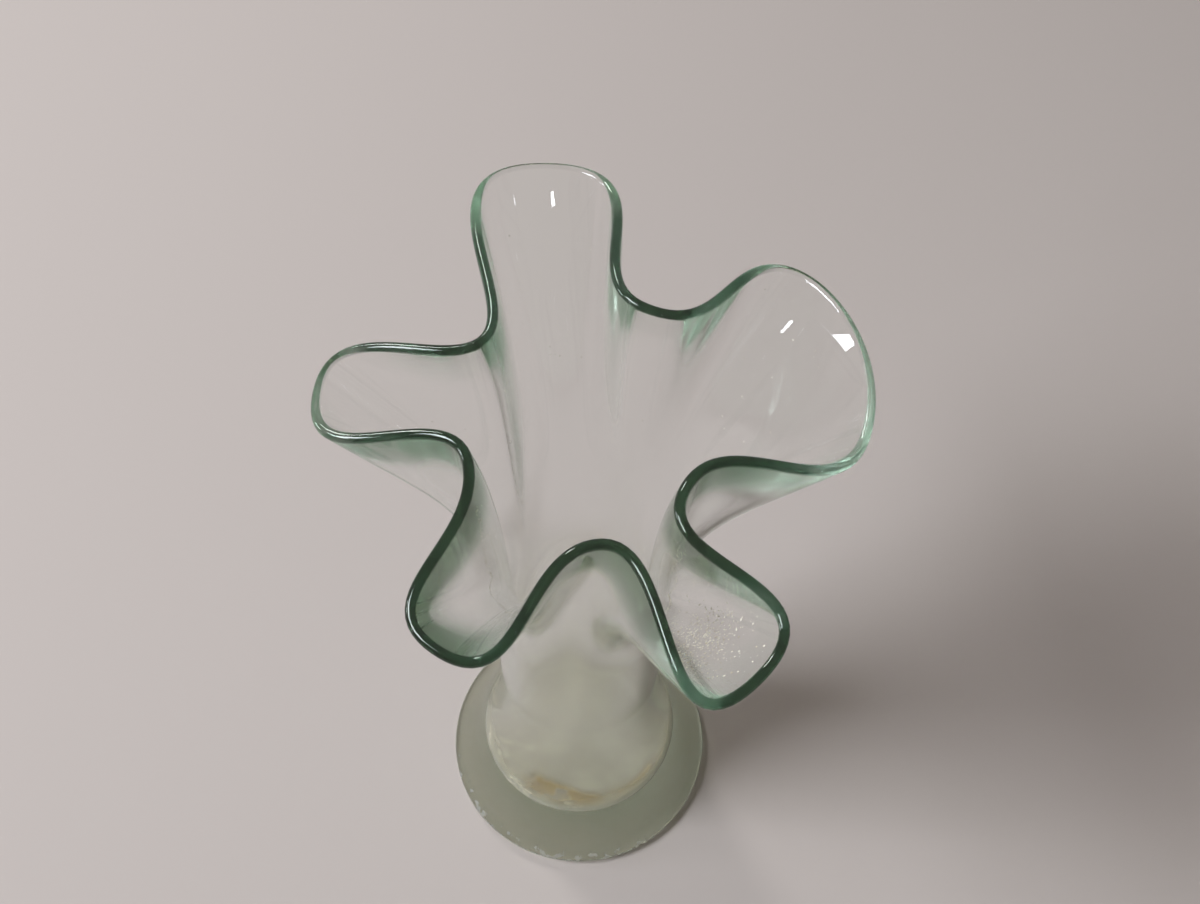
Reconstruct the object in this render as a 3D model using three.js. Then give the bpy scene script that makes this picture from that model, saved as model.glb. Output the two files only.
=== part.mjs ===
import * as THREE from "three";

// Bud vase worked by hand in clear glass with a green tinge: a spread foot, a plain column and a flared
// mouth that is crimped into lobes. Millimetres, +Z up, the middle of the standing face at the origin.

// Overall sizes
const FOOT_DIAMETER = 70;
const COLUMN_DIAMETER = 40;
const MOUTH_REACH = 60.5;
const LOBE_HEIGHT = 191;
const FOLD_RISE = 6;
const LEAN_DEGREES = 0.9;

// Heights where the sweep of the foot becomes upright and where the mouth begins to flare
const SWEEP_TOP = 64;
const MOUTH_BASE = 104;

// Glass thickness, the share of each line from column to rim on which the wall thins out into the lip,
// and how late on that share most of the thinning comes
const COLUMN_WALL = 3.7;
const RIM_WALL = 2.2;
const LIP_SHARE = 0.3;
const LIP_POWER = 2.5;
const FLOOR_THICKNESS = 12;

// Rounding of the foot's edge, and the least height over which the bore turns in to its floor
const FOOT_EDGE_RADIUS = 2.2;
const FLOOR_TURN = 5;

// Turns of the crimped rim, clockwise from above. A turn has its bearing from +X and its slant from square
// to that bearing in degrees. Its reach from the axis and the handle that sets how wide it bends are shares
// of MOUTH_REACH.
const RIM_TURNS = [
  { lobe: true, bearing: 98, reach: 0.959, slant: -9, handle: 0.446 },
  { lobe: false, bearing: 61, reach: 0.38, slant: 2, handle: 0.264 },
  { lobe: true, bearing: 41, reach: 0.826, slant: 44, handle: 0.165 },
  { lobe: true, bearing: -5, reach: 0.868, slant: -14, handle: 0.298 },
  { lobe: false, bearing: -46, reach: 0.43, slant: 20, handle: 0.281 },
  { lobe: true, bearing: -60, reach: 1, slant: 15, handle: 0.43 },
  { lobe: false, bearing: -84, reach: 0.488, slant: -4, handle: 0.231 },
  { lobe: true, bearing: -118, reach: 0.884, slant: -5, handle: 0.298 },
  { lobe: false, bearing: -147, reach: 0.413, slant: -23, handle: 0.264 },
  { lobe: true, bearing: 175, reach: 0.835, slant: 0, handle: 0.331 },
  { lobe: false, bearing: 143, reach: 0.38, slant: 7, handle: 0.182 },
];

// How the mouth flares: shares of the way out and up at the two handles of each line from column to rim
const FLARE_LOW_SHARE = 0.5;
const FLARE_OUT_SHARE = 0.45;
const FLARE_HIGH_SHARE = 0.72;

// How the foot sweeps in: shares of the way in and up at the two handles, and the share that belongs
// to the foot
const SWEEP_OUT_SHARE = 0.45;
const SWEEP_LOW_SHARE = 0.1;
const SWEEP_HIGH_SHARE = 0.5;
const FOOT_SHARE = 0.6;

// Fineness of the faceted surfaces, and how much the steps of the mouth crowd together towards the rim
const SEGMENTS = 72;
const ARC_STEPS = 6;
const SWEEP_STEPS = 10;
const RIM_STEPS = 176;
const MOUTH_STEPS = 10;
const EDGE_STEPS = 4;
const RIM_CROWDING = 1.5;

const columnRadius = COLUMN_DIAMETER / 2;
const boreRadius = columnRadius - COLUMN_WALL;
const lean = new THREE.Matrix4().makeShear(0, 0, 0, 0, Math.tan(THREE.MathUtils.degToRad(LEAN_DEGREES)), 0);

function glass(name, geometry, color) {
  const look = { color, transparent: true, opacity: 0.4, roughness: 0.05 };
  const mesh = new THREE.Mesh(geometry.applyMatrix4(lean), new THREE.MeshStandardMaterial(look));
  mesh.name = name;
  return mesh;
}

function turned(points) {
  return new THREE.LatheGeometry(points, SEGMENTS).rotateX(Math.PI / 2);
}

function arc(x, y, radius, from, to) {
  return new THREE.ArcCurve(x, y, radius, from, to, to < from).getPoints(ARC_STEPS);
}

// The rounded edge of the foot and the sweep from there up to the column. Foot and column share
// the sweep.
const edgeCentre = FOOT_DIAMETER / 2 - FOOT_EDGE_RADIUS;
const footEdge = arc(edgeCentre, FOOT_EDGE_RADIUS, FOOT_EDGE_RADIUS, -Math.PI / 2, Math.PI / 4);
const sweepStart = footEdge[ARC_STEPS];
const sweepIn = sweepStart.x - columnRadius;
const sweepUp = SWEEP_TOP - sweepStart.y;
const sweepCurve = new THREE.CubicBezierCurve(
  sweepStart,
  new THREE.Vector2(columnRadius + SWEEP_OUT_SHARE * sweepIn, sweepStart.y + SWEEP_LOW_SHARE * sweepUp),
  new THREE.Vector2(columnRadius, sweepStart.y + SWEEP_HIGH_SHARE * sweepUp),
  new THREE.Vector2(columnRadius, SWEEP_TOP),
);
const sweep = sweepCurve.getPoints(SWEEP_STEPS);
const jointStep = Math.round(FOOT_SHARE * SWEEP_STEPS);

// The bore keeps the column's wall inside the sweep, so it widens with the foot, and then turns in to a
// flat floor.
const bore = sweep.map((point) => new THREE.Vector2(point.x - COLUMN_WALL, point.y));
const turnStep = sweep.findIndex((point) => point.y > FLOOR_THICKNESS + FLOOR_TURN);
const turnStart = bore[turnStep];
const slope = sweepCurve.getTangent(turnStep / SWEEP_STEPS);
const turnWidth = ((turnStart.y - FLOOR_THICKNESS) * -slope.x) / slope.y;
const turnCorner = new THREE.Vector2(turnStart.x + turnWidth, FLOOR_THICKNESS);
const turnEnd = new THREE.Vector2(turnCorner.x - turnCorner.distanceTo(turnStart), FLOOR_THICKNESS);
const floorTurn = new THREE.QuadraticBezierCurve(turnStart, turnCorner, turnEnd).getPoints(ARC_STEPS);

// Foot: ground flat underneath, a rounded edge, the lower sweep, and the wide, closed end of the bore.
function footGeometry() {
  return turned([
    new THREE.Vector2(0, 0),
    ...footEdge,
    ...sweep.slice(1, jointStep + 1),
    ...bore.slice(turnStep + 1, jointStep + 1).reverse(),
    ...floorTurn,
    new THREE.Vector2(0, FLOOR_THICKNESS),
  ]);
}

// Column: the upper sweep and the plain tube above it.
function columnGeometry() {
  return turned([
    bore[jointStep],
    ...sweep.slice(jointStep),
    new THREE.Vector2(columnRadius, MOUTH_BASE),
    new THREE.Vector2(boreRadius, MOUTH_BASE),
    ...bore.slice(jointStep).reverse(),
  ]);
}

// The middle of the rim as a closed chain of curves from turn to turn, cut into equal steps.
function rimPoints() {
  const turns = RIM_TURNS.map(({ lobe, bearing, reach, slant, handle }) => {
    const aim = THREE.MathUtils.degToRad(bearing);
    const along = THREE.MathUtils.degToRad(bearing - 90 + slant);
    const height = lobe ? LOBE_HEIGHT : LOBE_HEIGHT + FOLD_RISE;
    const at = new THREE.Vector3(Math.cos(aim), Math.sin(aim), 0).multiplyScalar(reach * MOUTH_REACH);
    at.setZ(height);
    const step = new THREE.Vector3(Math.cos(along), Math.sin(along), 0);
    step.multiplyScalar(handle * MOUTH_REACH);
    return { at, ahead: at.clone().add(step), behind: at.clone().sub(step) };
  });
  const rim = new THREE.CurvePath();
  turns.forEach((turn, i) => {
    const next = turns[(i + 1) % turns.length];
    rim.add(new THREE.CubicBezierCurve3(turn.at, turn.ahead, next.behind, next.at));
  });
  return rim.getSpacedPoints(RIM_STEPS).slice(0, RIM_STEPS);
}

// Lines from the top of the column to the rim. Each leaves the column upright and turns out towards
// the rim.
function flareLines() {
  const radius = columnRadius - COLUMN_WALL / 2;
  const start = THREE.MathUtils.degToRad(RIM_TURNS[0].bearing);
  return rimPoints().map((end, i) => {
    const angle = start - (2 * Math.PI * i) / RIM_STEPS;
    const foot = new THREE.Vector3(radius * Math.cos(angle), radius * Math.sin(angle), MOUTH_BASE);
    const run = end.clone().sub(foot);
    const first = foot.clone().add(new THREE.Vector3(0, 0, FLARE_LOW_SHARE * run.z));
    const shares = new THREE.Vector3(FLARE_OUT_SHARE, FLARE_OUT_SHARE, FLARE_HIGH_SHARE);
    const second = foot.clone().add(run.multiply(shares));
    return new THREE.CubicBezierCurve3(foot, first, second, end);
  });
}

function wallAt(t) {
  const lip = Math.max(0, (t - 1 + LIP_SHARE) / LIP_SHARE);
  return THREE.MathUtils.lerp(COLUMN_WALL, RIM_WALL, lip ** LIP_POWER);
}

// Mouth: the flare lines thickened to both sides, with a rounded, fire-polished edge along the rim.
// The steps are closer together towards the rim.
function mouthGeometry() {
  const lines = flareLines();
  const outer = [];
  const inner = [];
  const edge = Array.from({ length: EDGE_STEPS - 1 }, () => []);
  for (let k = 0; k <= MOUTH_STEPS; k++) {
    const t = 1 - (1 - k / MOUTH_STEPS) ** RIM_CROWDING;
    const half = wallAt(t) / 2;
    const middle = lines.map((line) => line.getPoint(t));
    const outside = [];
    const inside = [];
    middle.forEach((point, i) => {
      const around = middle[(i + 1) % RIM_STEPS].clone().sub(middle[(i + RIM_STEPS - 1) % RIM_STEPS]);
      const normal = lines[i].getTangent(t).cross(around).normalize();
      outside.push(point.clone().addScaledVector(normal, half));
      inside.push(point.clone().addScaledVector(normal, -half));
      if (k < MOUTH_STEPS) return;
      const up = around.cross(normal).normalize();
      edge.forEach((ring, m) => {
        const turn = (Math.PI * (m + 1)) / EDGE_STEPS;
        const offset = normal.clone().multiplyScalar(half * Math.cos(turn));
        ring.push(point.clone().add(offset).addScaledVector(up, half * Math.sin(turn)));
      });
    });
    outer.push(outside);
    inner.unshift(inside);
  }
  return ringBody([...outer, ...edge, ...inner]);
}

// A closed body from rings of equally many points, the last ring joined to the first.
function ringBody(rings) {
  const count = rings[0].length;
  const faces = [];
  rings.forEach((ring, j) => {
    const below = j * count;
    const above = ((j + 1) % rings.length) * count;
    for (let i = 0; i < count; i++) {
      const next = (i + 1) % count;
      faces.push(below + i, above + i, below + next);
      faces.push(below + next, above + i, above + next);
    }
  });
  const geometry = new THREE.BufferGeometry().setFromPoints(rings.flat());
  geometry.setIndex(faces);
  geometry.computeVertexNormals();
  return geometry;
}

const vase = new THREE.Group();
vase.name = "bud_vase";
vase.add(glass("foot", footGeometry(), 0xb9c4b6));
vase.add(glass("column", columnGeometry(), 0xc6cfc4));
vase.add(glass("mouth", mouthGeometry(), 0xa9bfae));

export default vase;
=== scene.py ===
import math
import random

import bmesh
import bpy
import numpy as np
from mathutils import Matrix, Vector


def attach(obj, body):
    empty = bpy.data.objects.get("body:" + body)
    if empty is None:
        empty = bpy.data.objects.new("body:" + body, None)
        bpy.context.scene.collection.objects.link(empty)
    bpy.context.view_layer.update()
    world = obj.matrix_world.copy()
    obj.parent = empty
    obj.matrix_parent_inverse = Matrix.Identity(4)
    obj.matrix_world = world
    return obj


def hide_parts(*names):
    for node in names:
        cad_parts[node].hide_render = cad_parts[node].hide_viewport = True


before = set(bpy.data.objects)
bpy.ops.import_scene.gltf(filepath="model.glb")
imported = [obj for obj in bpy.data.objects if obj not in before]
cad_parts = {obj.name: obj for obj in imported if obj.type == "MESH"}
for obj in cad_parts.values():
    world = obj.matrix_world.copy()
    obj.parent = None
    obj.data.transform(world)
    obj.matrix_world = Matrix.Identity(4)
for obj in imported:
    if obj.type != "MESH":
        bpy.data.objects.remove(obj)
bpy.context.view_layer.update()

# Bud vase in clear glass with a green tinge, shown as one closed skin that stands for the foot, the
# column and the mouth of the solid model. Sizes of the form are in millimetres, as in that model.
# Materials and stage use metres.
MM = 0.001

# Overall sizes
FOOT_RADIUS = 35.0
COLUMN_RADIUS = 20.0
MOUTH_REACH = 60.5
LOBE_HEIGHT = 191.0
FOLD_RISE = 6.0
LEAN = math.tan(math.radians(0.9))
SWEEP_TOP = 64.0
MOUTH_BASE = 104.0

# Glass thickness, and how the wall thins out into the lip
COLUMN_WALL = 3.7
RIM_WALL = 2.2
LIP_SHARE = 0.3
LIP_POWER = 2.5
FLOOR_THICKNESS = 12.0
FOOT_EDGE_RADIUS = 2.2
BORE_RADIUS = COLUMN_RADIUS - COLUMN_WALL

# Turns of the rim: lobe or fold, bearing in degrees, reach as a share of MOUTH_REACH, slant in degrees,
# and handle as a share of MOUTH_REACH
RIM_TURNS = [
    (True, 98, 0.959, -9, 0.446),
    (False, 61, 0.38, 2, 0.264),
    (True, 41, 0.826, 44, 0.165),
    (True, -5, 0.868, -14, 0.298),
    (False, -46, 0.43, 20, 0.281),
    (True, -60, 1, 15, 0.43),
    (False, -84, 0.488, -4, 0.231),
    (True, -118, 0.884, -5, 0.298),
    (False, -147, 0.413, -23, 0.264),
    (True, 175, 0.835, 0, 0.331),
    (False, 143, 0.38, 7, 0.182),
]

# How the mouth flares and the foot sweeps in: shares of the way at the handles of their curves
FLARE_LOW_SHARE = 0.5
FLARE_OUT_SHARE = 0.45
FLARE_HIGH_SHARE = 0.72
SWEEP_OUT_SHARE = 0.45
SWEEP_LOW_SHARE = 0.1
SWEEP_HIGH_SHARE = 0.5

# Share of the sweep at which the bore stops following it and turns in to the floor, and the step that
# gives its slope there
TURN_SHARE = 0.4
SLOPE_STEP = 0.001

# Fineness of the shown surface: points around, rings up each part, and the innermost ring of the flat faces
AROUND = 320
CHAIN_STEPS = 400
UNDER_RINGS = 16
FOOT_EDGE_RINGS = 14
SWEEP_RINGS = 56
TUBE_RINGS = 20
MOUTH_RINGS = 56
RIM_CROWDING = 1.5
EDGE_RINGS = 9
BORE_SWEEP_RINGS = 36
TURN_RINGS = 24
FLOOR_RINGS = 14
INNERMOST = 2

# Where the look changes over the glass: polish of the outside towards the rim, height of the water marks,
# and a painted shade on the rim, a darker colour that stands in for how dark the rim looks and fades at the
# tips of the lobes behind the front
RIM_POLISH = 0.97
POLISH_FADE = 0.12
MARKS_TOP = 27.0
MARKS_FADE = 9.0
TIP_REACH = 43.0
TIP_FADE = 8.0
TIP_CLEARNESS = 0.85
FRONT_REACH = 30.0
FRONT_FADE = 25.0


def bezier(points, shares):
    a, b, c, d = (np.asarray(p, float) for p in points)
    t = np.asarray(shares, float)[:, None]
    return (1 - t) ** 3 * a + 3 * (1 - t) ** 2 * t * b + 3 * (1 - t) * t * t * c + t**3 * d


def unit(rows):
    return rows / np.linalg.norm(rows, axis=1)[:, None]


def arc(x, y, radius, start, end, count):
    angles = np.linspace(start, end, count)
    return np.c_[x + radius * np.cos(angles), y + radius * np.sin(angles)]


def rim_points():
    """Middle of the rim as a closed chain of curves from turn to turn, cut into equal steps."""
    at, step = [], []
    for lobe, bearing, reach_share, slant, handle_share in RIM_TURNS:
        reach, handle = reach_share * MOUTH_REACH, handle_share * MOUTH_REACH
        aim = math.radians(bearing)
        along = math.radians(bearing - 90 + slant)
        height = LOBE_HEIGHT if lobe else LOBE_HEIGHT + FOLD_RISE
        at.append([reach * math.cos(aim), reach * math.sin(aim), height])
        step.append([handle * math.cos(along), handle * math.sin(along), 0])
    at, step = np.array(at), np.array(step)
    chain = []
    for i in range(len(at)):
        j = (i + 1) % len(at)
        handles = [at[i], at[i] + step[i], at[j] - step[j], at[j]]
        chain.append(bezier(handles, np.linspace(0, 1, CHAIN_STEPS, endpoint=False)))
    chain = np.vstack(chain + [at[:1]])
    length = np.r_[0, np.cumsum(np.linalg.norm(np.diff(chain, axis=0), axis=1))]
    stops = np.linspace(0, length[-1], AROUND, endpoint=False)
    return np.stack([np.interp(stops, length, chain[:, k]) for k in range(3)], 1)


# Lines from the top of the column to the rim, which the mouth's wall follows
bearings = math.radians(RIM_TURNS[0][1]) - 2 * math.pi * np.arange(AROUND) / AROUND
spokes = np.c_[np.cos(bearings), np.sin(bearings)]
flare_end = rim_points()
flare_foot = np.c_[(COLUMN_RADIUS - COLUMN_WALL / 2) * spokes, np.full(AROUND, MOUTH_BASE)]
flare_run = flare_end - flare_foot
flare_first = flare_foot + flare_run * [0, 0, FLARE_LOW_SHARE]
flare_second = flare_foot + flare_run * [FLARE_OUT_SHARE, FLARE_OUT_SHARE, FLARE_HIGH_SHARE]


def flare(t):
    """Middle, way around and outward normal of the mouth's wall at the share t from column to rim."""
    s = 1 - t
    middle = s**3 * flare_foot + 3 * s * s * t * flare_first
    middle = middle + 3 * s * t * t * flare_second + t**3 * flare_end
    rising = s * s * (flare_first - flare_foot) + 2 * s * t * (flare_second - flare_first)
    rising = unit(rising + t * t * (flare_end - flare_second))
    around = np.roll(middle, -1, 0) - np.roll(middle, 1, 0)
    return middle, around, unit(np.cross(rising, around))


def wall_at(t):
    lip = max(0.0, (t - 1 + LIP_SHARE) / LIP_SHARE)
    return COLUMN_WALL + (RIM_WALL - COLUMN_WALL) * lip**LIP_POWER


edge_centre = FOOT_RADIUS - FOOT_EDGE_RADIUS
foot_edge = arc(edge_centre, FOOT_EDGE_RADIUS, FOOT_EDGE_RADIUS, -math.pi / 2, math.pi / 4, FOOT_EDGE_RINGS)


def sweep_at(shares):
    start = foot_edge[-1]
    run_in, run_up = start[0] - COLUMN_RADIUS, SWEEP_TOP - start[1]
    handles = [
        start,
        (COLUMN_RADIUS + SWEEP_OUT_SHARE * run_in, start[1] + SWEEP_LOW_SHARE * run_up),
        (COLUMN_RADIUS, start[1] + SWEEP_HIGH_SHARE * run_up),
        (COLUMN_RADIUS, SWEEP_TOP),
    ]
    return bezier(handles, shares)


def outer_profile():
    """Radius and height from the middle of the standing face to the top of the column."""
    under = np.c_[np.linspace(INNERMOST, edge_centre, UNDER_RINGS), np.zeros(UNDER_RINGS)]
    heights = np.linspace(SWEEP_TOP, MOUTH_BASE, TUBE_RINGS + 1)[1:]
    tube = np.c_[np.full(TUBE_RINGS, COLUMN_RADIUS), heights]
    return np.vstack([under, foot_edge[1:], sweep_at(np.linspace(0, 1, SWEEP_RINGS))[1:], tube])


def bore_profile():
    """Radius and height from the top of the column down the bore to the middle of its floor."""
    heights = np.linspace(MOUTH_BASE, SWEEP_TOP, TUBE_RINGS + 1)[1:]
    tube = np.c_[np.full(TUBE_RINGS, BORE_RADIUS), heights]
    sweep = sweep_at(np.linspace(1, TURN_SHARE, BORE_SWEEP_RINGS))[1:] - [COLUMN_WALL, 0]
    start = sweep[-1]
    ahead = sweep_at([TURN_SHARE - SLOPE_STEP])[0] - [COLUMN_WALL, 0]
    drop = (start[1] - FLOOR_THICKNESS) / (start[1] - ahead[1])
    corner = start + drop * (ahead - start)
    end = corner - [np.linalg.norm(corner - start), 0]
    t = np.linspace(0, 1, TURN_RINGS)[1:, None]
    turn = (1 - t) ** 2 * start + 2 * t * (1 - t) * corner + t * t * end
    radii = np.linspace(end[0], INNERMOST, FLOOR_RINGS)[1:]
    floor = np.c_[radii, np.full(FLOOR_RINGS - 1, FLOOR_THICKNESS)]
    return np.vstack([tube, sweep, turn, floor])


def ring(radius, height):
    return np.c_[radius * spokes, np.full(AROUND, height)]


def ring_faces(rings, count):
    faces = []
    for j in range(rings - 1):
        below, above = j * count, (j + 1) * count
        for i in range(count):
            k = (i + 1) % count
            faces.append((below + i, above + i, above + k, below + k))
    return faces


def leaned(points):
    """The points in metres, with the lean of the vase."""
    points = np.array(points, float)
    points[..., 0] += LEAN * points[..., 2]
    return points * MM


def show(name, vertices, faces, material):
    mesh = bpy.data.meshes.new(name)
    mesh.from_pydata(vertices.tolist(), [], faces)
    mesh.update()
    mesh.polygons.foreach_set("use_smooth", [True] * len(mesh.polygons))
    mesh.materials.append(material)
    obj = bpy.data.objects.new(name, mesh)
    bpy.context.scene.collection.objects.link(obj)
    return obj


# The glass as one closed skin: underside, edge, sweep, column, mouth, rim, and down the bore to its floor
def glass_body(material):
    outside, inside, rim, worn = [], [], [], []
    for k in range(MOUTH_RINGS + 1):
        t = 1 - (1 - k / MOUTH_RINGS) ** RIM_CROWDING
        worn.append(np.clip((RIM_POLISH - t) / POLISH_FADE, 0, 1))
        middle, around, normal = flare(t)
        half = wall_at(t) / 2
        outside.append(middle + half * normal)
        inside.append(middle - half * normal)
    up = unit(np.cross(around, normal))
    for m in range(1, EDGE_RINGS + 1):
        turn = math.pi * m / (EDGE_RINGS + 1)
        rim.append(middle + half * (math.cos(turn) * normal + math.sin(turn) * up))
    base = [ring(*p) for p in outer_profile()]
    rings = base + outside[1:] + rim + inside[::-1] + [ring(*p) for p in bore_profile()]
    points = np.vstack(rings + [[[0, 0, 0], [0, 0, FLOOR_THICKNESS]]])
    faces = ring_faces(len(rings), AROUND)
    bottom, floor = len(points) - 2, len(points) - 1
    last = (len(rings) - 1) * AROUND
    for i in range(AROUND):
        k = (i + 1) % AROUND
        faces.append((bottom, i, k))
        faces.append((last + i, floor, last + k))
    obj = show("vase_glass", leaned(points), faces, material)

    # What the material needs to know of each point: worn outside, painted shade on the rim, and water marks
    outer_count = (len(base) + MOUTH_RINGS) * AROUND
    handled = np.zeros(len(points))
    handled[:outer_count] = np.repeat([1] * len(base) + worn[1:], AROUND)
    handled[bottom] = 1
    # Painted shade on the rim: full on the front, cleared towards the tips of the lobes behind the front
    tip = np.clip((np.hypot(flare_end[:, 0], flare_end[:, 1]) - TIP_REACH) / TIP_FADE, 0, 1)
    back = np.clip((flare_end[:, 1] + FRONT_REACH) / FRONT_FADE, 0, 1)
    painted_rim_shade = np.zeros(len(points))
    rim_part = slice(outer_count, outer_count + EDGE_RINGS * AROUND)
    painted_rim_shade[rim_part] = np.tile(1 - TIP_CLEARNESS * tip * back, EDGE_RINGS)
    marked = np.clip((MARKS_TOP - points[:, 2]) / MARKS_FADE, 0, 1) * (1 - handled)
    for name, values in (("handled", handled), ("painted_rim_shade", painted_rim_shade), ("marked", marked)):
        obj.data.attributes.new(name, "FLOAT", "POINT").data.foreach_set("value", values)

    skin = bmesh.new()
    skin.from_mesh(obj.data)
    if skin.calc_volume(signed=True) < 0:
        bmesh.ops.reverse_faces(skin, faces=skin.faces[:])
        skin.to_mesh(obj.data)
    skin.free()
    return obj


def new_material(name):
    material = bpy.data.materials.new(name)
    material.use_nodes = True
    return material, material.node_tree, material.node_tree.nodes["Principled BSDF"]


# Sums, differences and products are clamped to the range from 0 to 1
def math_node(tree, operation, *values):
    node = tree.nodes.new("ShaderNodeMath")
    node.operation = operation
    node.use_clamp = operation in ("MULTIPLY", "ADD", "SUBTRACT")
    for socket, value in zip(node.inputs, values):
        if isinstance(value, (int, float)):
            socket.default_value = value
        else:
            tree.links.new(value, socket)
    return node.outputs[0]


def product(tree, first, *others):
    for other in others:
        first = math_node(tree, "MULTIPLY", first, other)
    return first


def largest(tree, first, *others):
    for other in others:
        first = math_node(tree, "MAXIMUM", first, other)
    return first


UP = (0.0, 1.0)
DOWN = (1.0, 0.0)


def ramp(tree, value, span, to=UP):
    node = tree.nodes.new("ShaderNodeMapRange")
    node.interpolation_type = "SMOOTHSTEP"
    tree.links.new(value, node.inputs["Value"])
    for name, number in zip(("From Min", "From Max", "To Min", "To Max"), (*span, *to)):
        node.inputs[name].default_value = number
    return node.outputs["Result"]


def noise(tree, scale, detail, roughness):
    place = tree.nodes.new("ShaderNodeTexCoord")
    node = tree.nodes.new("ShaderNodeTexNoise")
    node.inputs["Scale"].default_value = scale
    node.inputs["Detail"].default_value = detail
    node.inputs["Roughness"].default_value = roughness
    tree.links.new(place.outputs["Object"], node.inputs["Vector"])
    return node.outputs[0]


def attribute(tree, name):
    node = tree.nodes.new("ShaderNodeAttribute")
    node.attribute_name = name
    return node.outputs["Fac"]


def blend(tree, factor, first, second):
    node = tree.nodes.new("ShaderNodeMix")
    node.data_type = "RGBA"
    tree.links.new(factor, node.inputs["Factor"])
    for socket, value in ((node.inputs["A"], first), (node.inputs["B"], second)):
        if isinstance(value, tuple):
            socket.default_value = value
        else:
            tree.links.new(value, socket)
    return node.outputs["Result"]


# The glass itself
GLASS_IOR = 1.5
TINGE = (0.10, 0.52, 0.22, 1)
TINGE_DENSITY = 5.5
CLEAR = (1.0, 1.0, 1.0, 1)
# Painted shade: the dark colour the rim is given so that it looks dark
PAINTED_RIM_SHADE = (0.03, 0.06, 0.04, 1)
POLISH = (0.015, 0.11)

# Ground underside and worn front edge of the foot: heights, aim of the front, noises (scale, detail,
# roughness) with the spans that are used of them, and how solid they are
GROUND = (0.80, 0.75, 0.62, 1)
GROUND_HEIGHT = (0.0001, 0.0004)
EDGE_HEIGHT = (0.0035, 0.0055)
FRONT_AIM = (-16.4, -23.4)
FRONT_SPAN = (0.62, 0.75)
CHIP_NOISE = (420, 4, 0.6)
CHIP_SPAN = (0.5, 0.62)
CHIP_SOLID = 0.16
GRAIN_NOISE = (260, 5, 0.6)
GRAIN_SPAN = (0.35, 0.7)
GRAIN_ROUGHNESS = (0.3, 0.5)
MOTTLE_NOISE = (150, 4, 0.6)
MOTTLE_SPAN = (0.35, 0.65)
MOTTLE_SOLID = (0.2, 0.38)

# Ochre patches along the edge of the bore's floor, between two bearings and two radii
OCHRE = (0.38, 0.25, 0.02, 1)
OCHRE_SOLID = 0.97
OCHRE_START = (-2.5, -2.2)
OCHRE_END = (-0.45, -0.1)
OCHRE_INNER_BEARING = (-1.9, -0.9)
OCHRE_INNER_RADIUS = (0.0125, 0.0175)
OCHRE_INNER_FADE = (0.0, 0.003)
OCHRE_OUTER_RADIUS = (0.0195, 0.0222)
OCHRE_NOISE = (120, 4, 0.55)
OCHRE_SPAN = (0.38, 0.54)

# Cream clouds, mostly on the left and the front, and a faint haze over the whole floor
CREAM = (0.92, 0.86, 0.69, 1)
CREAM_SOLID = 0.8
CREAM_LEFT = (-0.006, 0.008)
CREAM_LEFT_SHARE = (1.0, 0.2)
CREAM_RADIUS = (0.007, 0.014)
CREAM_BACK = (0.008, 0.014)
CREAM_NOISE = (95, 4, 0.55)
CREAM_SPAN = (0.46, 0.66)
HAZE_NOISE = (60, 3, 0.5)
HAZE_SPAN = (0.3, 0.7)
HAZE_SOLID = (0.3, 0.5)
FILM_COVER = (0.0, 0.3)
FILM_ROUGHNESS = 0.4


def water_marks(tree, x, y):
    """Shares of the ochre patches and of all marks together."""
    marked = attribute(tree, "marked")
    bearing = math_node(tree, "ARCTAN2", y, x)
    squares = math_node(tree, "ADD", product(tree, x, x), product(tree, y, y))
    radius = math_node(tree, "SQRT", squares)
    inner = ramp(tree, bearing, OCHRE_INNER_BEARING, OCHRE_INNER_RADIUS)
    ochre = product(
        tree,
        marked,
        ramp(tree, math_node(tree, "SUBTRACT", radius, inner), OCHRE_INNER_FADE),
        ramp(tree, radius, OCHRE_OUTER_RADIUS, DOWN),
        ramp(tree, bearing, OCHRE_START),
        ramp(tree, bearing, OCHRE_END, DOWN),
        ramp(tree, noise(tree, *OCHRE_NOISE), OCHRE_SPAN),
    )
    cream = product(
        tree,
        marked,
        ramp(tree, x, CREAM_LEFT, CREAM_LEFT_SHARE),
        ramp(tree, radius, CREAM_RADIUS),
        ramp(tree, y, CREAM_BACK, DOWN),
        ramp(tree, noise(tree, *CREAM_NOISE), CREAM_SPAN),
    )
    haze = product(tree, marked, ramp(tree, noise(tree, *HAZE_NOISE), HAZE_SPAN, HAZE_SOLID))
    film = largest(tree, product(tree, ochre, OCHRE_SOLID), product(tree, cream, CREAM_SOLID), haze)
    return ochre, film
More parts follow.
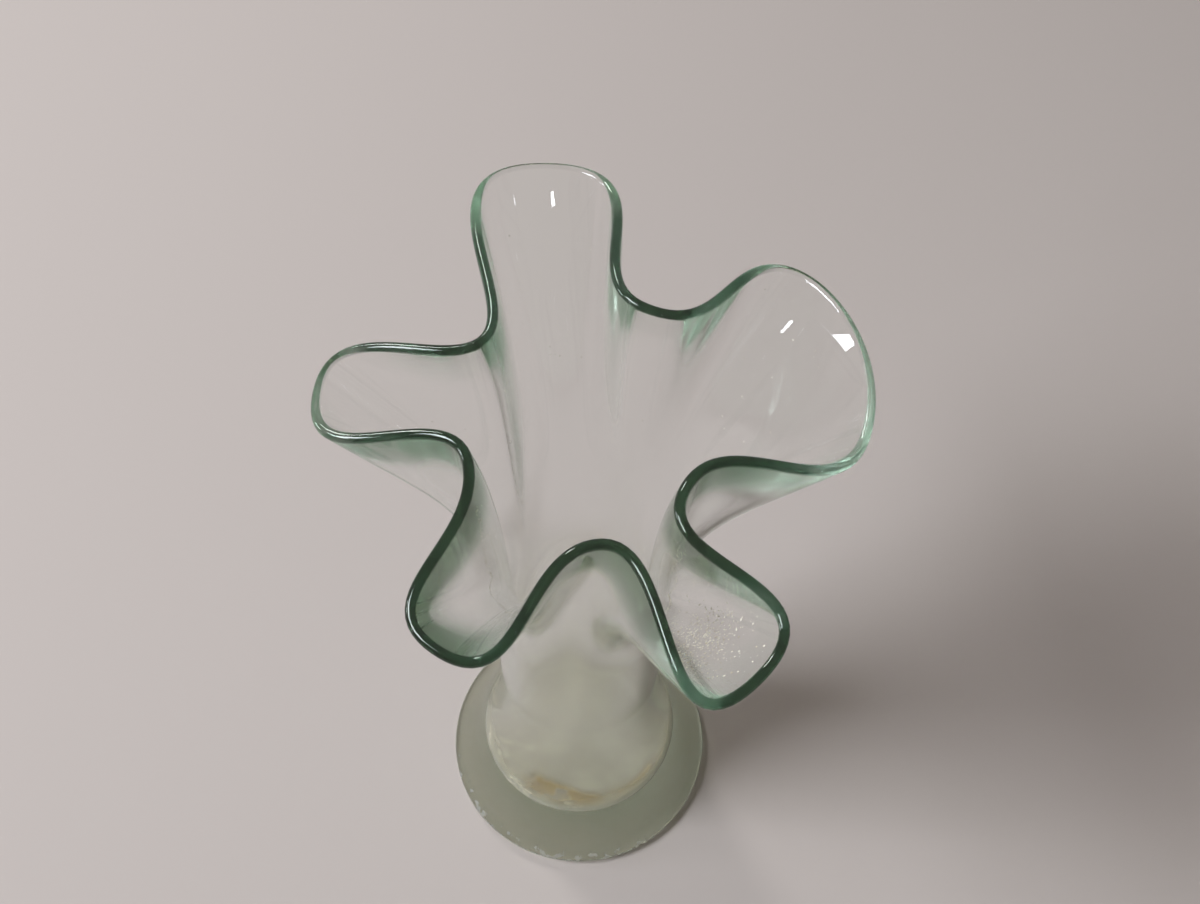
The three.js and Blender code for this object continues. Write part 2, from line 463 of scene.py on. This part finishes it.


# Clear glass with a green tinge. The underside is ground, the front of the foot's edge is worn, the rim
# carries a painted shade, and water has left a cream film with ochre patches on the end of the bore.
def glass_material():
    material, tree, skin = new_material("glass")
    place = tree.nodes.new("ShaderNodeTexCoord")
    split = tree.nodes.new("ShaderNodeSeparateXYZ")
    tree.links.new(place.outputs["Object"], split.inputs[0])
    x, y, z = split.outputs

    ground = ramp(tree, z, GROUND_HEIGHT, DOWN)
    reach = math_node(tree, "ADD", product(tree, x, FRONT_AIM[0]), product(tree, y, FRONT_AIM[1]))
    front = ramp(tree, reach, FRONT_SPAN)
    chipped = ramp(tree, noise(tree, *CHIP_NOISE), CHIP_SPAN)
    chips = product(tree, ramp(tree, z, EDGE_HEIGHT, DOWN), front, chipped)
    grain = ramp(tree, noise(tree, *GRAIN_NOISE), GRAIN_SPAN, GRAIN_ROUGHNESS)
    frost = product(tree, largest(tree, ground, chips), grain)
    mottled = ramp(tree, noise(tree, *MOTTLE_NOISE), MOTTLE_SPAN, MOTTLE_SOLID)
    ochre, film = water_marks(tree, x, y)

    polish = ramp(tree, attribute(tree, "handled"), UP, POLISH)
    rough = math_node(tree, "ADD", frost, polish)
    rough = math_node(tree, "ADD", rough, product(tree, film, FILM_ROUGHNESS))
    tree.links.new(rough, skin.inputs["Roughness"])
    solid = largest(tree, film, product(tree, ground, mottled), product(tree, chips, CHIP_SOLID))
    tree.links.new(math_node(tree, "SUBTRACT", 1.0, solid), skin.inputs["Transmission Weight"])
    # Painted shade: the rim's base colour darkens from clear to dark olive where the rim's shade attribute
    # is set
    bare = blend(tree, ground, blend(tree, attribute(tree, "painted_rim_shade"), CLEAR, PAINTED_RIM_SHADE), GROUND)
    marks = blend(tree, ochre, CREAM, OCHRE)
    tree.links.new(blend(tree, ramp(tree, film, FILM_COVER), bare, marks), skin.inputs["Base Color"])
    skin.inputs["IOR"].default_value = GLASS_IOR
    tint = tree.nodes.new("ShaderNodeVolumeAbsorption")
    tint.inputs["Color"].default_value = TINGE
    tint.inputs["Density"].default_value = TINGE_DENSITY
    tree.links.new(tint.outputs[0], tree.nodes["Material Output"].inputs["Volume"])
    return material


PAPER = (0.57, 0.51, 0.48, 1)
PAPER_GLOSS = 0.1
MATT = 0.9


def paper_material():
    material, _, skin = new_material("paper")
    skin.inputs["Base Color"].default_value = PAPER
    skin.inputs["Roughness"].default_value = MATT
    skin.inputs["Specular IOR Level"].default_value = PAPER_GLOSS
    return material


# Dust: its two colours with their places in the noise, and how much it covers
DUST_DARK = (0.52, 0.43, 0.30, 1)
DUST_PALE = (1.0, 0.94, 0.80, 1)
DUST_SPAN = (0.35, 0.5)
DUST_NOISE = (900, 2, 0.5)
DUST_COVER = 0.85


def dust_material():
    material, tree, skin = new_material("dust")
    tone = tree.nodes.new("ShaderNodeValToRGB")
    for stop, place, color in zip(tone.color_ramp.elements, DUST_SPAN, (DUST_DARK, DUST_PALE)):
        stop.position = place
        stop.color = color
    tree.links.new(noise(tree, *DUST_NOISE), tone.inputs["Fac"])
    tree.links.new(tone.outputs["Color"], skin.inputs["Base Color"])
    skin.inputs["Roughness"].default_value = MATT
    skin.inputs["Alpha"].default_value = DUST_COVER
    return material


# Flakes of dust on the inside of the mouth: rows along two creases, a drift on the front right lobe and a
# few all over. Places are shares up the mouth and around it. Radii of flakes and the lift off the glass are
# in millimetres. The first corner of a flake lies square to FLAKE_TURN.
DUST_SEED = 5
FLAKE_SIDES = 6
FLAKE_LIFT = 0.03
FLAKE_UNEVENNESS = (0.6, 1.2)
FLAKE_TURN = (0.36, 0.48, 0.8)
HIGHEST_FLAKE = 0.97
LEFT_CREASE = [(0.946, 0.700), (0.77, 0.688), (0.568, 0.666), (0.608, 0.628), (0.719, 0.606), (0.925, 0.594)]
RIGHT_CREASE = [(0.936, 0.378), (0.719, 0.388), (0.548, 0.416), (0.568, 0.45)]
CREASE_COUNT = 300
CREASE_SPREAD = (0.004, 0.0012)
CREASE_FLAKES = (0.05, 0.16)
DRIFT_COUNT = 560
DRIFT_HEIGHT = (0.79, 0.07)
DRIFT_PLACE = (0.453, 0.013)
DRIFT_FLAKES = (0.09, 0.24)
STRAY_COUNT = 260
STRAY_HEIGHT = (0.5, 0.96)
STRAY_FLAKES = (0.07, 0.18)


def inside_at(t, u):
    """Point and inward normal on the inside of the mouth at the share t up and u around."""
    middle, _, normal = flare(t)
    place = (u % 1) * AROUND
    i, part = int(place), place - int(place)
    j = (i + 1) % AROUND
    i %= AROUND
    out = normal[i] * (1 - part) + normal[j] * part
    out /= np.linalg.norm(out)
    at = middle[i] * (1 - part) + middle[j] * part
    return at - out * (wall_at(t) / 2 + FLAKE_LIFT), -out


def dust_spots(draw):
    spots = []
    for crease in (LEFT_CREASE, RIGHT_CREASE):
        legs = np.array(crease)
        for _ in range(CREASE_COUNT):
            way = draw.random() * (len(legs) - 1)
            i = int(way)
            t, u = legs[i] + (legs[i + 1] - legs[i]) * (way - i)
            t += draw.gauss(0, CREASE_SPREAD[0])
            u += draw.gauss(0, CREASE_SPREAD[1])
            spots.append((t, u, draw.uniform(*CREASE_FLAKES)))
    for _ in range(DRIFT_COUNT):
        spots.append((draw.gauss(*DRIFT_HEIGHT), draw.gauss(*DRIFT_PLACE), draw.uniform(*DRIFT_FLAKES)))
    for _ in range(STRAY_COUNT):
        spots.append((draw.uniform(*STRAY_HEIGHT), draw.random(), draw.uniform(*STRAY_FLAKES)))
    return spots


def dust(material):
    draw = random.Random(DUST_SEED)
    points, faces = [], []
    for t, u, radius in dust_spots(draw):
        centre, normal = inside_at(min(t, HIGHEST_FLAKE), u)
        side = np.cross(normal, FLAKE_TURN)
        side /= np.linalg.norm(side)
        other = np.cross(normal, side)
        start = len(points)
        for k in range(FLAKE_SIDES):
            turn = 2 * math.pi * k / FLAKE_SIDES
            size = radius * draw.uniform(*FLAKE_UNEVENNESS)
            points.append(centre + size * (math.cos(turn) * side + math.sin(turn) * other))
        faces.append(tuple(range(start, start + FLAKE_SIDES)))
    return show("dust", leaned(points), faces, material)


glass = glass_body(glass_material())
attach(glass, "root")
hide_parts("foot", "column", "mouth")
flakes = dust(dust_material())
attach(flakes, "root")

# Stage: pale paper just under the vase, a window on the left, smaller lights that show in the glass, and
# a dim room
PAPER_SIZE = 6
PAPER_HEIGHT = -0.0004
bpy.ops.mesh.primitive_plane_add(size=PAPER_SIZE, location=(0, 0, PAPER_HEIGHT))
paper = bpy.context.object
paper.name = "paper"
paper.data.materials.append(paper_material())

WHITE = (1, 1, 1)
COOL = (0.9, 0.94, 1.0)
MIDDLE = (0, 0, 0.1)
RIGHT_LOBE = (0.050, 0.014, 0.187)
BACK_LOBE = (-0.003, 0.052, 0.188)

# Name, azimuth and elevation in degrees, distance, size, power in watts, colour, and the point aimed at
LIGHTS = [
    ("window", -169, 49, 1.8, (0.72, 0.56), 28.0, COOL, MIDDLE),
    ("low_window", 175, 13, 1.6, (0.40, 0.18), 5.0, COOL, RIGHT_LOBE),
    ("back_fill", 122, 42, 0.9, (0.12, 0.2), 1.7, WHITE, MIDDLE),
    ("lamp_a", -46, 31, 0.9, (0.02, 0.02), 0.035, COOL, BACK_LOBE),
    ("lamp_b", -97, 34, 0.9, (0.03, 0.03), 0.09, COOL, BACK_LOBE),
    ("lamp_c", -146, 38, 0.9, (0.05, 0.05), 0.2, COOL, BACK_LOBE),
    ("lamp_d", -159, 17, 0.8, (0.035, 0.035), 0.1, COOL, RIGHT_LOBE),
]


def area_light(name, azimuth, elevation, distance, size, power, color, aim):
    a, e = math.radians(azimuth), math.radians(elevation)
    direction = Vector((math.cos(a) * math.cos(e), math.sin(a) * math.cos(e), math.sin(e)))
    light = bpy.data.lights.new(name, "AREA")
    light.shape = "RECTANGLE"
    light.size, light.size_y = size
    light.energy = power
    light.color = color
    obj = bpy.data.objects.new(name, light)
    obj.location = Vector(aim) + direction * distance
    obj.rotation_euler = (-direction).to_track_quat("-Z", "Y").to_euler()
    bpy.context.scene.collection.objects.link(obj)


for entry in LIGHTS:
    area_light(*entry)

# The room: dim, warm light for the paper, and the paler walls that are seen directly and in the glass
ROOM_COLOR = (1.0, 0.83, 0.6, 1)
ROOM_STRENGTH = 0.09
WALLS_COLOR = (0.92, 1.0, 0.86, 1)
WALLS_STRENGTH = 0.4


def room_world():
    world = bpy.data.worlds.new("room")
    world.use_nodes = True
    tree = world.node_tree
    room = tree.nodes["Background"]
    room.inputs["Color"].default_value = ROOM_COLOR
    room.inputs["Strength"].default_value = ROOM_STRENGTH
    walls = tree.nodes.new("ShaderNodeBackground")
    walls.inputs["Color"].default_value = WALLS_COLOR
    walls.inputs["Strength"].default_value = WALLS_STRENGTH
    ray = tree.nodes.new("ShaderNodeLightPath").outputs
    seen = largest(tree, ray["Is Glossy Ray"], ray["Is Transmission Ray"], ray["Is Camera Ray"])
    either = tree.nodes.new("ShaderNodeMixShader")
    tree.links.new(seen, either.inputs["Fac"])
    tree.links.new(room.outputs[0], either.inputs[1])
    tree.links.new(walls.outputs[0], either.inputs[2])
    tree.links.new(either.outputs[0], tree.nodes["World Output"].inputs["Surface"])
    return world


# Camera at the photo's angle: the focal length is given in pixels of the 1200 pixels wide image
SENSOR_WIDTH = 36
FOCAL_PIXELS = 1736
IMAGE_WIDTH = 1200
NEAREST = 0.01
EYE = (0.005985, -0.15823, 0.47599)
LOOK_DOWN = 62.16


def photo_camera():
    camera = bpy.data.cameras.new("camera")
    camera.sensor_width = SENSOR_WIDTH
    camera.lens = SENSOR_WIDTH * FOCAL_PIXELS / IMAGE_WIDTH
    camera.clip_start = NEAREST
    obj = bpy.data.objects.new("camera", camera)
    obj.location = EYE
    obj.rotation_euler = (math.radians(90 - LOOK_DOWN), 0, 0)
    bpy.context.scene.collection.objects.link(obj)
    return obj


# Light runs a long way inside the glass before it leaves at the rim, so it needs many bounces
GLASS_BOUNCES = 128
CLEAR_BOUNCES = 16
scene = bpy.context.scene
scene.world = room_world()
scene.camera = photo_camera()
scene.view_settings.view_transform = "Standard"
scene.cycles.max_bounces = GLASS_BOUNCES
scene.cycles.transmission_bounces = GLASS_BOUNCES
scene.cycles.glossy_bounces = GLASS_BOUNCES
scene.cycles.transparent_max_bounces = CLEAR_BOUNCES
